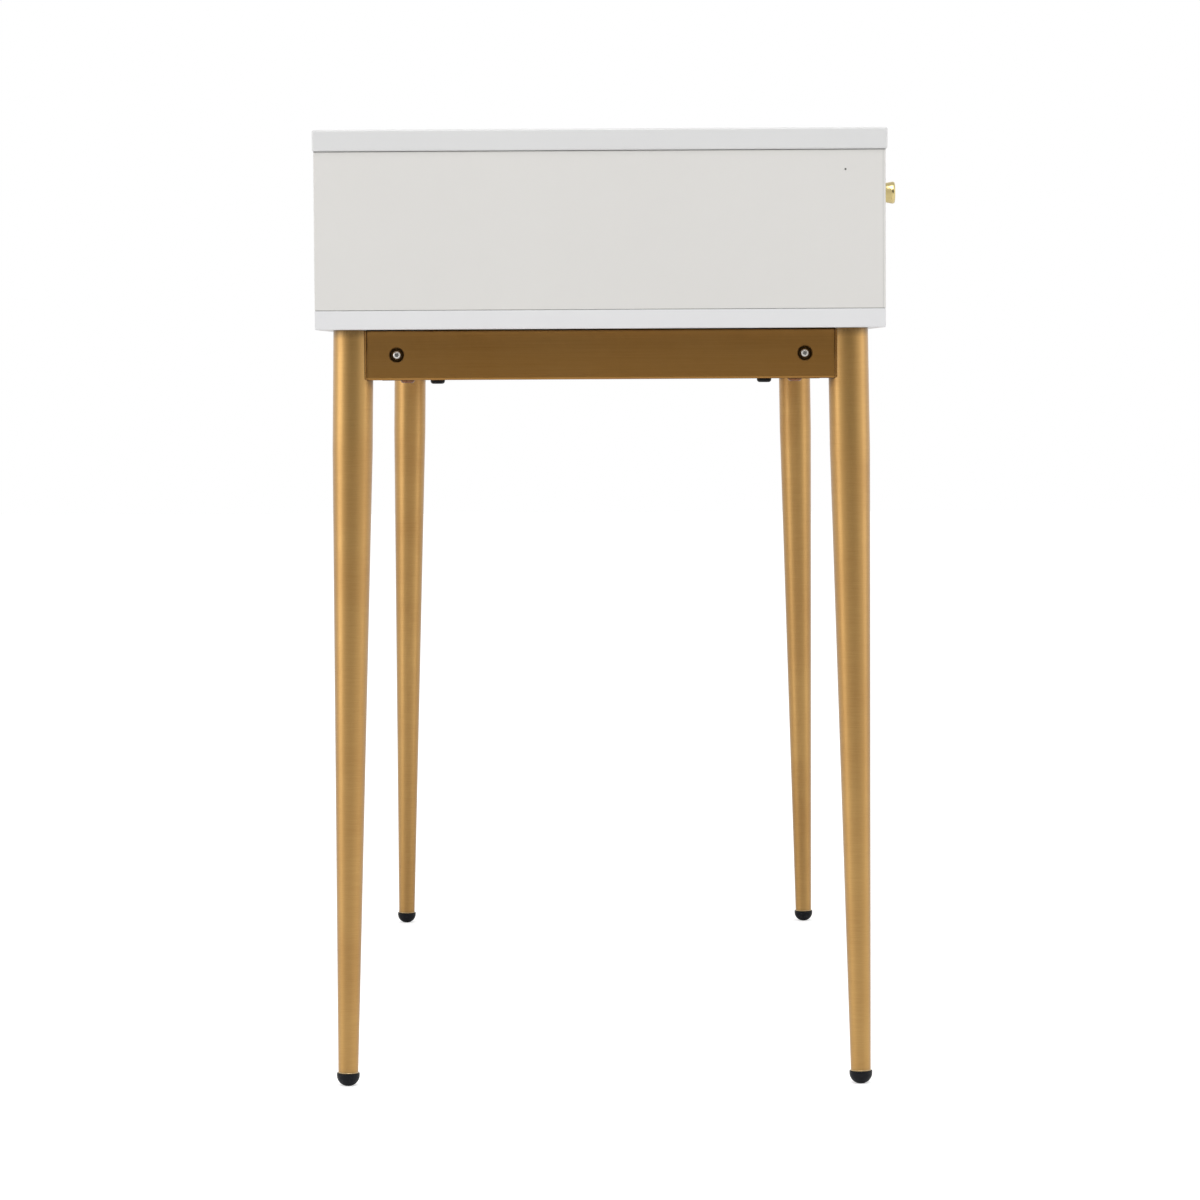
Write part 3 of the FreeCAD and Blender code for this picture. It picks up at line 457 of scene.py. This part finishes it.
def lathed(name, profile, steps=32, sharp=35):
    """Mesh turned about Z from a list of (radius, height), closed where the radius is nought."""
    mesh = bpy.data.meshes.new(name)
    work = bmesh.new()
    rings = []
    for radius, height in profile:
        if radius == 0:
            rings.append([work.verts.new((0, 0, height))])
            continue
        rings.append([work.verts.new((radius * math.cos(2 * math.pi * step / steps),
                                      radius * math.sin(2 * math.pi * step / steps), height))
                      for step in range(steps)])
    for low, high in zip(rings, rings[1:]):
        for step in range(steps):
            after = (step + 1) % steps
            corners = [low[step % len(low)], low[after % len(low)], high[after % len(high)],
                       high[step % len(high)]]
            work.faces.new(list(dict.fromkeys(corners)))
    bmesh.ops.remove_doubles(work, verts=work.verts, dist=0.000001)
    bmesh.ops.recalc_face_normals(work, faces=work.faces)
    for edge in work.edges:
        edge.smooth = edge.calc_face_angle(0) < math.radians(sharp)
    for face in work.faces:
        face.smooth = True
    work.to_mesh(mesh)
    work.free()
    return mesh


# Weld beads and toe rims
# A small bead runs down each seam where an end rail meets a leg, filed nearly flush; each leg's cut
# toe has a thin rim just above its foot, in a lighter gold as a painted highlight.
BEAD_R, BEAD_STEP, SEAM_TALL, SEAM_DROP = 0.0009, 0.0011, 0.0385, 0.0012
LEG_R, LEG_RUN_OUT, LEG_DROP, FOOT_MIDDLE_Z = 0.016, 0.009, 0.605, 0.005
RIM_BORE, RIM_R, RIM_TALL, RIM_EASE, TOE_Z = 0.0072, 0.0083, 0.0008, 0.0002, 0.0104
rail_low, rail_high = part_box("end_rail_right")
seam_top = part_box("end_rail_left")[1][2] - SEAM_DROP
leg_lines = []
for end, side in CORNERS:
    foot_low, foot_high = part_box("foot_%s_%s" % (end, side))
    foot_centre = Vector(((foot_low[0] + foot_high[0]) / 2, (foot_low[1] + foot_high[1]) / 2,
                          FOOT_MIDDLE_Z))
    sx, sy = (-1 if side == "left" else 1), (-1 if end == "front" else 1)
    lean = LEG_RUN_OUT / LEG_DROP
    leg_lines.append((foot_centre, Vector((sx * lean, sy * lean, -1)).normalized(), sx, sy))


def on_leg(foot_centre, down, z):
    """Point of a leg's middle line at a height."""
    return foot_centre + down * ((z - foot_centre.z) / down.z)


def half_round(steps, radius=1.0):
    """Half profile of a ball, from its lowest point to its highest."""
    return [(radius * math.sin(math.pi * step / steps) if 0 < step < steps else 0,
             -radius * math.cos(math.pi * step / steps)) for step in range(steps + 1)]


beads = []
for foot_centre, down, sx, sy in leg_lines:
    for face_x in (rail_low[0], rail_high[0]):
        for step in range(int(SEAM_TALL / BEAD_STEP)):
            z = seam_top - step * BEAD_STEP
            axis = on_leg(foot_centre, down, z)
            reach = face_x - abs(axis.x)
            y = axis.y - sy * math.sqrt(LEG_R ** 2 - reach ** 2)
            beads.append(((sx * face_x, y, z), (0, 0, 1), (BEAD_R, BEAD_R, BEAD_R)))
bead = lathed("bead", half_round(6), steps=8, sharp=80)
welds = scatter("weld_beads", bead, beads, gold_end_rail, seed=4, spin=ANY_TURN)

# painted highlight: the toe rim's gold is lighter than the legs' to show a bright ring at the toe
toe_rim_highlight_gold = brushed("toe_rim_painted_highlight", (0.86, 0.66, 0.36), (0.72, 0.50, 0.24),
                    stretch=(300, 300, 900), roughness=0.25, spread=0.1, strength=0.05, coat=0.5)
rim = lathed("rim", [(RIM_BORE, 0), (RIM_R - RIM_EASE, 0), (RIM_R, RIM_EASE),
                     (RIM_R, RIM_TALL - RIM_EASE), (RIM_R - RIM_EASE, RIM_TALL),
                     (RIM_BORE, RIM_TALL), (RIM_BORE, 0)], steps=48)
rim_spots = [(tuple(on_leg(foot_centre, down, TOE_Z)), tuple(-down), (1, 1, 1))
             for foot_centre, down, sx, sy in leg_lines]
toe_rims = scatter("toe_rims", rim, rim_spots, toe_rim_highlight_gold)
for piece in (welds, toe_rims):
    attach(piece, "root")

# Domed feet
# Black moulded plastic plugs pushed into the legs' toes, domed underneath, with the faint
# orange peel of a mould. The plugs in the long rails' ends are of the same plastic.
foot_black = film_material("black_plastic", (0.006, 0.007, 0.010), cloud=0.3, peel=1500.0,
                           roughness=0.36, rub=0.15, strength=0.25)
foot_black.node_tree.nodes["Principled BSDF"].inputs["Specular IOR Level"].default_value = 0.2
for end, side in CORNERS:
    foot = "foot_%s_%s" % (end, side)
    smooth_copy(foot, foot + "_moulded", foot_black, sharp=40)
dress("rail_end_plugs", foot_black)

# Screws and cabinet fittings
# Nickel-plated pan-head screws lie in dished seats in the end rails. Brass and zinc flat-head
# screws hold the hinge and the slides; zinc cams, dowels and long screws hold the boards.
FLAT_HEAD = [(0, 0), (0.97, 0), (1, -0.01), (0.52, -0.10), (0.50, -0.16), (0.50, -0.92), (0, -1)]
PAN_HEAD = [(0, 0), (0.42, 0), (0.64, -0.010), (0.86, -0.028), (0.97, -0.044), (1, -0.058),
            (0.63, -0.060), (0.60, -0.95), (0, -1)]
NEAR_END, LEVEL, MIDDLE, RECESS_TAPER = 0.08, 0.0001, 0.001, 0.8
nickel = brushed("nickel", (0.78, 0.76, 0.72), (0.60, 0.58, 0.54), stretch=(500, 500, 500),
                 roughness=0.16, spread=0.12, strength=0.05)
turned_brass = brushed("turned_brass", (0.78, 0.58, 0.28), (0.62, 0.43, 0.17),
                       stretch=(900, 900, 900), roughness=0.22, spread=0.12, strength=0.08)
zinc = brushed("zinc", (0.62, 0.63, 0.65), (0.48, 0.49, 0.50), stretch=(150, 150, 150),
               roughness=0.26, spread=0.14, strength=0.06)
dress("mirror_clips", nickel)
dress("board_inserts", turned_brass)
for node in ("cam_dowels", "cam_nuts", "confirmat_screws", "lid_stay"):
    dress(node, zinc)


def solids_of(node):
    """Points of each separate solid of a node."""
    work = merged(node)
    left, found = set(work.verts), []
    while left:
        front, island = [left.pop()], []
        while front:
            vert = front.pop()
            island.append(vert.co.copy())
            for edge in vert.link_edges:
                other = edge.other_vert(vert)
                if other in left:
                    left.remove(other)
                    front.append(other)
        found.append(island)
    work.free()
    return found


def fastener_spots(node):
    """Where each fastener of a node sits: its head's face, the way it looks, and its size."""
    spots = []
    for island in solids_of(node):
        low = Vector([min(point[axis] for point in island) for axis in range(3)])
        high = Vector([max(point[axis] for point in island) for axis in range(3)])
        span = high - low
        along = max(range(3), key=lambda axis: span[axis])
        wide = max(span[axis] for axis in range(3) if axis != along)
        centre = (low + high) / 2
        reach = {}
        for way, end in ((-1, low[along]), (1, high[along])):
            near = [point for point in island if abs(point[along] - end) < NEAR_END * span[along]]
            reach[way] = max((Vector([0 if axis == along else point[axis] - centre[axis]
                                      for axis in range(3)])).length for point in near)
        way = 1 if reach[1] > reach[-1] else -1
        face = centre.copy()
        face[along] = (high if way > 0 else low)[along]
        heading = Vector((0, 0, 0))
        heading[along] = way
        spots.append((tuple(face), tuple(heading), (wide / 2, wide / 2, span[along])))
    return spots


def crossed_head(name, profile, arm, width, deep):
    """Unit screw, head's face at z = 0 with radius 1 and length 1, with a cross recess."""
    mesh = lathed(name, profile)
    work = bmesh.new()
    work.from_mesh(mesh)
    work.verts.ensure_lookup_table()
    face_verts = [vert for vert in work.verts if vert.co.z > -LEVEL]
    rim = sorted([vert for vert in face_verts if vert.co.xy.length > MIDDLE],
                 key=lambda vert: math.atan2(vert.co.y, vert.co.x))
    middle = [vert for vert in face_verts if vert not in rim]
    bmesh.ops.delete(work, geom=middle, context="VERTS")
    outline = []
    for quarter in range(4):
        turn = Matrix.Rotation(quarter * math.pi / 2, 2)
        for corner in ((arm, -width), (arm, width), (width, width)):
            spot = turn @ Vector(corner)
            outline.append(work.verts.new((spot.x, spot.y, 0)))
    borders = [work.edges.get(pair) or work.edges.new(pair)
               for ring in (rim, outline) for pair in zip(ring, ring[1:] + ring[:1])]
    bmesh.ops.triangle_fill(work, edges=borders, use_beauty=True, use_dissolve=False)
    inside = []
    for face in work.faces:
        centre = face.calc_center_median()
        near, far = sorted((abs(centre.x), abs(centre.y)))
        if centre.z > -LEVEL and near < width and far < arm:
            inside.append(face)
    bmesh.ops.delete(work, geom=inside, context="FACES_ONLY")
    floor_ring = [work.verts.new((vert.co.x * RECESS_TAPER, vert.co.y * RECESS_TAPER, -deep))
                  for vert in outline]
    floor_middle = work.verts.new((0, 0, -deep))
    for n in range(len(outline)):
        after = (n + 1) % len(outline)
        work.faces.new((outline[n], outline[after], floor_ring[after], floor_ring[n]))
        work.faces.new((floor_ring[n], floor_ring[after], floor_middle))
    bmesh.ops.recalc_face_normals(work, faces=work.faces)
    work.to_mesh(mesh)
    work.free()
    return mesh


flat_screw = crossed_head("flat_screw", FLAT_HEAD, arm=0.62, width=0.14, deep=0.06)
pan_screw = crossed_head("pan_screw", PAN_HEAD, arm=0.36, width=0.09, deep=0.014)
for node, shape, ending, material, seed in (
        ("hinge_screws", flat_screw, "_crossed", turned_brass, 7),
        ("lid_screws", flat_screw, "_crossed", turned_brass, 7),
        ("cabinet_slide_screws", flat_screw, "_crossed", zinc, 7),
        ("left_slide_screws", flat_screw, "_crossed", zinc, 7),
        ("right_slide_screws", flat_screw, "_crossed", zinc, 7),
        ("rail_screws", pan_screw, "_domed", nickel, 3)):
    screws = scatter(node + ending, shape, fastener_spots(node), material, seed, ANY_TURN)
    stand_for(screws, node)

# Frame bolts
# Low button-head bolts with a hex socket, driven up through the rails into the brass inserts in
# the bottom board: bronze under the long rails, black oxide under the end rails.
HEAD_R, HEAD_TALL, SOCKET_R, SOCKET_DEEP = 0.00575, 0.003, 0.0021, 0.0018
STUD_R, BOLT_LONG = 0.003, 0.054
BUTTON_HEAD = [(SOCKET_R, -SOCKET_DEEP), (SOCKET_R, 0), (0.0040, 0), (0.0050, -0.0005),
               (0.0056, -0.0013), (HEAD_R, -0.0022), (HEAD_R, -HEAD_TALL)]
END_RAIL_X = 0.455
bronze = brushed("bronze_bolt", (0.30, 0.14, 0.07), (0.20, 0.09, 0.05), stretch=(500, 500, 500),
                 roughness=0.22, spread=0.1, strength=0.05)
black_oxide = brushed("black_oxide", (0.030, 0.030, 0.032), (0.015, 0.015, 0.016),
                      stretch=(400, 400, 400), roughness=0.34, spread=0.14, strength=0.1)
button = lathed("button", BUTTON_HEAD + [(STUD_R, -HEAD_TALL), (STUD_R, -BOLT_LONG),
                                         (0, -BOLT_LONG)], steps=48)
hexed = bmesh.new()
hexed.from_mesh(button)
socket_verts = [vert for vert in hexed.verts if abs(vert.co.xy.length - SOCKET_R) < 0.00001]
for vert in socket_verts:
    angle = math.atan2(vert.co.y, vert.co.x)
    flat = math.cos(math.pi / 6) / math.cos((angle % (math.pi / 3)) - math.pi / 6)
    vert.co.x, vert.co.y = vert.co.x * flat, vert.co.y * flat
hexed.faces.new(sorted([vert for vert in socket_verts if vert.co.z < -SOCKET_DEEP / 2],
                       key=lambda vert: math.atan2(vert.co.y, vert.co.x)))
bmesh.ops.recalc_face_normals(hexed, faces=hexed.faces)
hexed.to_mesh(button)
hexed.free()
bolt_spots = [(place, heading, (1, 1, 1)) for place, heading, size in fastener_spots("frame_bolts")]
for name, material, at_the_end in (("long_rail_bolts", bronze, False),
                                   ("end_rail_bolts", black_oxide, True)):
    chosen = [spot for spot in bolt_spots if (abs(spot[0][0]) > END_RAIL_X) == at_the_end]
    bolts = scatter(name, button, chosen, material, seed=5, spin=ANY_TURN)
    stand_for(bolts, "frame_bolts")

# Drawer slides
# Three nested channels each side of a drawer, folded from zinc-plated strip whose drawing marks
# run along it: one screwed to the cabinet, a middle one, and one screwed to the drawer.
slide_zinc = brushed("slide_zinc", (0.64, 0.65, 0.67), (0.50, 0.51, 0.53), stretch=(900, 6, 900),
                     roughness=0.24, spread=0.12, strength=0.08)
for side in ("left", "right"):
    for member in ("cabinet", "middle", "drawer"):
        dress("%s_slide_%s_channels" % (side, member), slide_zinc)
    dress("%s_knob_screw" % side, zinc)

# Slide balls and retainers
# Two short plastic retainers in each middle channel carry the outer balls at its rear and the
# inner balls at its front, where the neighbouring channels overlap it all the way out.
BALL_R, BALL_STEP, BALL_SET_IN = 0.0015, 0.0065, 0.0038
OUTER_ROW_Z, OUTER_ROW_Y = 0.01445, (0.130, 0.030)
INNER_ROW_Z, INNER_ROW_Y = 0.0096, (0.020, 0.120)
STRIP_WIDE, STRIP_THICK = 0.0030, 0.0004
slide_ball = lathed("slide_ball", half_round(8, BALL_R), steps=16, sharp=80)
retainer_green = film_material("retainer_green", (0.10, 0.16, 0.13), cloud=0.1, peel=1500.0,
                               roughness=0.5, rub=0.1, strength=0.2)
steel_ball = brushed("steel_ball", (0.72, 0.72, 0.74), (0.60, 0.60, 0.62), stretch=(90, 90, 90),
                     roughness=0.12, spread=0.06, strength=0.02)
for side in ("left", "right"):
    channels = "%s_slide_middle_channels" % side
    low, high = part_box(channels)
    centre_z = (low[2] + high[2]) / 2
    rows = ((OUTER_ROW_Z, high[1] - OUTER_ROW_Y[0], high[1] - OUTER_ROW_Y[1]),
            (INNER_ROW_Z, low[1] + INNER_ROW_Y[0], low[1] + INNER_ROW_Y[1]))
    balls, strips = [], bmesh.new()
    for x in (low[0] + BALL_SET_IN, high[0] - BALL_SET_IN):
        for row_z, start_y, stop_y in rows:
            for way in (-1, 1):
                z = centre_z + way * row_z
                balls += [((x, start_y + (n + 0.5) * BALL_STEP, z), (0, 0, 1), (1, 1, 1))
                          for n in range(int((stop_y - start_y) / BALL_STEP))]
                strip = Matrix.Translation((x, (start_y + stop_y) / 2, z)) @ Matrix.Diagonal(
                    (STRIP_WIDE, stop_y - start_y, STRIP_THICK, 1))
                bmesh.ops.create_cube(strips, size=1.0, matrix=strip)
    ball_rows = scatter("%s_slide_balls" % side, slide_ball, balls, steel_ball)
    retainers = finished("%s_slide_retainers" % side, strips, retainer_green)
    for piece, finish in ((ball_rows, "zinc_steel"), (retainers, "nylon")):
        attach(piece, body_of(channels))

# Knobs
# Turned from brass bar, left bright and lacquered: a waist that flares to a flat face with a
# softened rim and one fine groove turned in it.
KNOB_PROFILE = [(0, 0), (0.0050, 0), (0.0052, 0.0002), (0.0054, 0.0035), (0.0060, 0.0050),
                (0.0066, 0.0065), (0.0072, 0.0082), (0.0077, 0.0100), (0.0081, 0.0115),
                (0.0084, 0.0130), (0.0087, 0.0145), (0.0090, 0.0160), (0.00915, 0.0172),
                (0.0089, 0.0182), (0.0086, 0.0186), (0.0082, 0.0188), (0.0072, 0.0190),
                (0.0045, 0.0190), (0.0042, 0.0188), (0.0039, 0.0190), (0, 0.0190)]
knob_brass = brushed("knob_brass", (0.86, 0.72, 0.35), (0.76, 0.60, 0.26),
                     stretch=(2600, 2600, 2600), roughness=0.16, spread=0.08, strength=0.04,
                     coat=0.5)
knob_mesh = lathed("knob", KNOB_PROFILE, steps=64, sharp=28)
for side in ("left", "right"):
    low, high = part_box("%s_knob" % side)
    foot_spot = ((low[0] + high[0]) / 2, high[1], (low[2] + high[2]) / 2)
    knob = scatter("%s_knob_turned" % side, knob_mesh, [(foot_spot, (0, -1, 0), (1, 1, 1))],
                   knob_brass)
    stand_for(knob, "%s_knob" % side)

# Lid hardware
# A brass piano hinge in two leaves, rolled round a brass pin; the lid's curved stay slides
# in a moulded nylon keeper.
hinge_brass = brushed("hinge_brass", (0.80, 0.60, 0.30), (0.66, 0.47, 0.20), stretch=(8, 900, 900),
                      roughness=0.24, spread=0.12, strength=0.08)
nylon = film_material("nylon", (0.78, 0.77, 0.72), cloud=0.05, peel=1200.0, roughness=0.45,
                      rub=0.1, strength=0.2)
for node in ("hinge_leaf_fixed", "hinge_leaf_lid", "hinge_pin"):
    dress(node, hinge_brass)
dress("lid_stay_keeper", nylon)

# Mirror
# Float glass 4 mm thick, silvered on the side against the lid, with a wide ground bevel round
# its face. The ground edge shows the green of the glass.
GROUND_WIDE, GROUND_DEEP = 0.012, 0.0012
silvered, silver_tree, silver_shader = new_material("silvered_glass", Metallic=1.0)
smear = add(silver_tree, "ShaderNodeTexNoise", [
    ("Vector", add(silver_tree, "ShaderNodeTexCoord").outputs["Object"]), ("Scale", 22.0),
    ("Detail", 4.0)])
haze = add(silver_tree, "ShaderNodeMapRange", [("Value", smear.outputs["Fac"]), ("To Min", 0.015),
                                               ("To Max", 0.05)])
silver_tree.links.new(haze.outputs["Result"], silver_shader.inputs["Roughness"])
tinge = add(silver_tree, "ShaderNodeMix", [("Factor", smear.outputs["Fac"]),
                                           (6, (0.90, 0.93, 0.92, 1)), (7, (0.94, 0.96, 0.95, 1))],
            data_type="RGBA")
silver_tree.links.new(tinge.outputs[2], silver_shader.inputs["Base Color"])
glass_edge = film_material("ground_glass_edge", (0.16, 0.34, 0.28), cloud=0.2, peel=1800.0,
                           roughness=0.25, rub=0.1, strength=0.15, coat=0.6)
low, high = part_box("mirror_glass")
levels = ((high[2], 0.0), (low[2] + GROUND_DEEP, 0.0), (low[2], GROUND_WIDE))
mirror_verts = []
for z, inset in levels:
    mirror_verts += [(low[0] + inset, low[1] + inset, z), (high[0] - inset, low[1] + inset, z),
                     (high[0] - inset, high[1] - inset, z), (low[0] + inset, high[1] - inset, z)]
mirror_faces = [(0, 1, 2, 3), (11, 10, 9, 8)]
mirror_faces += [(row * 4 + (n + 1) % 4, row * 4 + n, row * 4 + n + 4, row * 4 + (n + 1) % 4 + 4)
                 for row in (0, 1) for n in range(4)]
mirror_mesh = bpy.data.meshes.new("bevelled_mirror")
mirror_mesh.from_pydata(mirror_verts, [], mirror_faces)
mirror_mesh.materials.append(silvered)
mirror_mesh.materials.append(glass_edge)
for number in (0, 2, 3, 4, 5):
    mirror_mesh.polygons[number].material_index = 1
stand_for(linked("bevelled_mirror", mirror_mesh), "mirror_glass")

# Floor, light and camera
# A pale floor that runs out of sight under an even white sky, softboxes at both sides and
# above, and only a weak fill from the viewer's side, so the metal keeps its dark middle.
FLOOR_HALF = 12.0
FLOOR_LIFT = 0.5
floor_mesh = bpy.data.meshes.new("floor")
floor_mesh.from_pydata([(-FLOOR_HALF, -FLOOR_HALF, 0), (FLOOR_HALF, -FLOOR_HALF, 0),
                        (FLOOR_HALF, FLOOR_HALF, 0), (-FLOOR_HALF, FLOOR_HALF, 0)], [],
                       [(0, 1, 2, 3)])
floor = linked("floor", floor_mesh)
floor_paint, floor_tree, floor_shader = new_material("pale_floor", Roughness=0.9)
floor_shader.inputs["Base Color"].default_value = (0.9, 0.9, 0.9, 1)
floor_shader.inputs["Specular IOR Level"].default_value = 0.0
floor_shader.inputs["Emission Color"].default_value = (1, 1, 1, 1)
seen = add(floor_tree, "ShaderNodeLightPath")
lift = add(floor_tree, "ShaderNodeMath", [(0, seen.outputs["Is Camera Ray"]), (1, FLOOR_LIFT)],
           operation="MULTIPLY")
floor_tree.links.new(lift.outputs[0], floor_shader.inputs["Emission Strength"])
floor_mesh.materials.append(floor_paint)

scene.view_settings.view_transform = "Standard"
scene.view_settings.look = "None"
BEHIND_VIEWER, BESIDE_TABLE, OVERHEAD = 0.10, 0.95, 0.6
world = bpy.data.worlds.new("studio")
scene.world = world
world.use_nodes = True
sky = world.node_tree
back = sky.nodes["Background"]
way = add(sky, "ShaderNodeSeparateXYZ",
          [("Vector", add(sky, "ShaderNodeTexCoord").outputs["Generated"])])
behind = add(sky, "ShaderNodeMapRange", [("Value", way.outputs["X"]), ("From Min", -1.0),
                                         ("From Max", -0.5), ("To Min", BEHIND_VIEWER),
                                         ("To Max", BESIDE_TABLE)], interpolation_type="SMOOTHSTEP")
overhead = add(sky, "ShaderNodeMapRange", [("Value", way.outputs["Z"]), ("From Min", 0.3),
                                           ("From Max", 1.0), ("To Min", 1.0),
                                           ("To Max", OVERHEAD)], interpolation_type="SMOOTHSTEP")
dome = add(sky, "ShaderNodeMath", [(0, behind.outputs["Result"]), (1, overhead.outputs["Result"])],
           operation="MULTIPLY")
rays = add(sky, "ShaderNodeLightPath")
level = add(sky, "ShaderNodeMix", [("Factor", rays.outputs["Is Camera Ray"]), (2, dome.outputs[0]),
                                   (3, 1.0)])
sky.links.new(level.outputs[0], back.inputs["Strength"])
back.inputs["Color"].default_value = (1, 1, 1, 1)


def softbox(name, place, aim, size, power):
    """White rectangular lamp that faces a point and isn't seen itself."""
    light = bpy.data.lights.new(name, "AREA")
    light.shape = "RECTANGLE"
    light.size, light.size_y = size
    light.energy = power
    lamp = linked(name, light)
    lamp.location = place
    lamp.rotation_euler = (Vector(aim) - Vector(place)).to_track_quat("-Z", "Y").to_euler()
    lamp.visible_camera = False


TABLE_MIDDLE = (0, 0, 0.5)
softbox("rear_side_box", (-1.0, 2.8, 1.0), TABLE_MIDDLE, (1.6, 2.2), 13)
softbox("front_side_box", (-0.6, -2.8, 1.0), TABLE_MIDDLE, (1.4, 2.2), 6)
softbox("high_fill_box", (-2.2, 0.0, 3.4), (-0.5, 0.0, 0.65), (1.6, 2.4), 50)

EYE = Vector((-3.7045, 0.0038, 0.5773))
YAW, PITCH, ROLL = math.radians(0.117), math.radians(-3.334), math.radians(-0.306)
FOCUS_OF_WIDTH = 3.38
ahead = Vector((math.cos(PITCH) * math.cos(YAW), math.cos(PITCH) * math.sin(YAW), math.sin(PITCH)))
right = ahead.cross(Vector((0, 0, 1))).normalized()
above = right.cross(ahead)
level_right = right * math.cos(ROLL) + above * math.sin(ROLL)
level_up = above * math.cos(ROLL) - right * math.sin(ROLL)
lens = bpy.data.cameras.new("camera")
lens.sensor_width = 36
lens.lens = 36 * FOCUS_OF_WIDTH
lens.clip_end = 60
camera = linked("camera", lens)
turn = Matrix((level_right, level_up, -ahead)).transposed().to_4x4()
camera.matrix_world = Matrix.Translation(EYE) @ turn
scene.camera = camera
